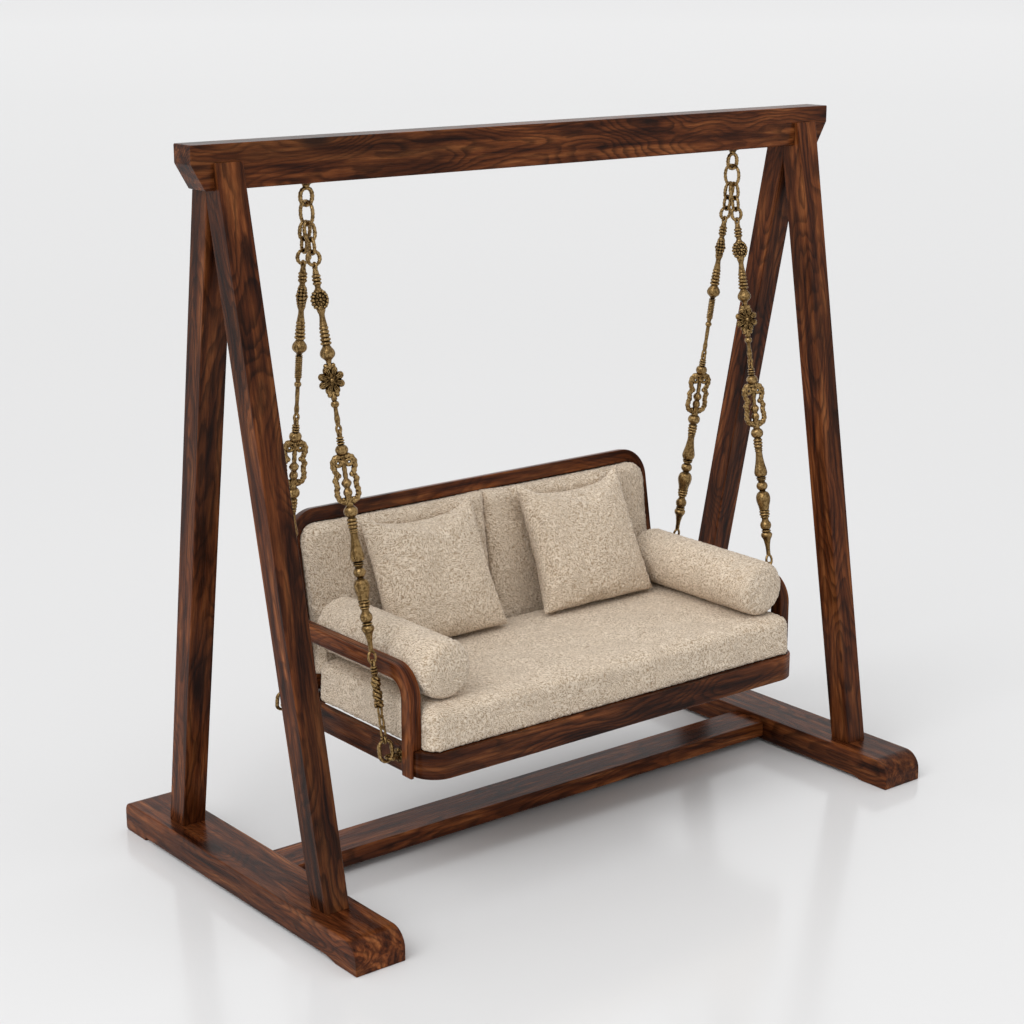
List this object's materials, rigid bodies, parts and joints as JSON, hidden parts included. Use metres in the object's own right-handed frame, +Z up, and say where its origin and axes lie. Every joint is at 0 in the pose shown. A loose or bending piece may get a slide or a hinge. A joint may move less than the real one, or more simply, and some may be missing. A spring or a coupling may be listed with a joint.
{
  "type": "jhoola swing",
  "caption": "Indoor jhoola: upholstered wooden bench with bolsters and pillows, hung on ornate cast brass chains from a wooden A-frame stand.",
  "frame": {"origin": "on the floor, in the middle of the stand, under the middle of the top beam", "axes": "+X along the top beam and the bench, -Y out of the front of the bench, +Z up"},
  "size_m": [2.1, 1.114, 1.9],
  "materials": {
    "stand_wood": "oiled and polished dark rosewood-like hardwood, satin",
    "bench_wood": "red-brown polished hardwood, glossy lacquer",
    "brass": "antiqued cast brass, dark in the crevices",
    "steel": "plain zinc-plated steel",
    "boucle": "cream boucle, tightly curled pile"
  },
  "bodies": {
    "stand": {"top_beam": "stand_wood", "left_front_leg": "stand_wood", "left_rear_leg": "stand_wood", "right_front_leg": "stand_wood", "right_rear_leg": "stand_wood", "left_foot": "stand_wood", "right_foot": "stand_wood", "stretcher": "stand_wood", "leg_splines": "stand_wood", "hanger_plates": "steel", "hanger_nuts": "steel", "beam_patches": "stand_wood", "hanger_eyes": "brass"},
    "ring_left": {"left_carrying_ring": "brass"},
    "ring_right": {"right_carrying_ring": "brass"},
    "chains_left": {"left_front_links": "brass", "left_front_rosette_rod": "brass", "left_front_scroll_baluster": "brass", "left_front_knot_drop": "brass", "left_front_hook_ring": "brass", "left_rear_links": "brass", "left_rear_rosette_rod": "brass", "left_rear_scroll_baluster": "brass", "left_rear_knot_drop": "brass", "left_rear_hook_ring": "brass"},
    "chains_right": {"right_front_links": "brass", "right_front_rosette_rod": "brass", "right_front_scroll_baluster": "brass", "right_front_knot_drop": "brass", "right_front_hook_ring": "brass", "right_rear_links": "brass", "right_rear_rosette_rod": "brass", "right_rear_scroll_baluster": "brass", "right_rear_knot_drop": "brass", "right_rear_hook_ring": "brass"},
    "bench": {"front_rail": "bench_wood", "left_side_rail": "bench_wood", "right_side_rail": "bench_wood", "rear_rail": "bench_wood", "slat_battens": "bench_wood", "seat_slats": "bench_wood", "backrest_frame": "bench_wood", "backrest_cross_rail": "bench_wood", "backrest_panel": "bench_wood", "left_arm": "bench_wood", "right_arm": "bench_wood", "seat_eyes": "brass", "seat_eye_nuts": "brass", "seat_cushion": "boucle", "left_back_pad": "boucle", "right_back_pad": "boucle", "left_bolster": "boucle", "right_bolster": "boucle", "left_pillow": "boucle", "right_pillow": "boucle"}
  },
  "joints": [
    {"name": "swing_left", "type": "hinge", "parent": "stand", "child": "ring_left", "pos_m": [-0.714, 0, 1.737], "axis": [1, 0, 0], "range_deg": [-25, 25]},
    {"name": "swing_right", "type": "hinge", "parent": "stand", "child": "ring_right", "pos_m": [0.714, 0, 1.737], "axis": [1, 0, 0], "range_deg": [-25, 25]},
    {"name": "sway_left", "type": "hinge", "parent": "ring_left", "child": "chains_left", "pos_m": [-0.714, 0, 1.68905], "axis": [0, 1, 0], "range_deg": [-4, 4]},
    {"name": "sway_right", "type": "hinge", "parent": "ring_right", "child": "chains_right", "pos_m": [0.714, 0, 1.68905], "axis": [0, 1, 0], "range_deg": [-4, 4]},
    {"name": "seat_level", "type": "hinge", "parent": "chains_left", "child": "bench", "pos_m": [-0.688, 0, 0.386], "axis": [0, 1, 0], "range_deg": [-4.2, 4.2]}
  ],
  "couplings": [
    {"joint": "swing_right", "follows": "swing_left", "ratio": 1},
    {"joint": "sway_right", "follows": "sway_left", "ratio": 1},
    {"joint": "seat_level", "follows": "sway_left", "ratio": -1.0378}
  ]
}
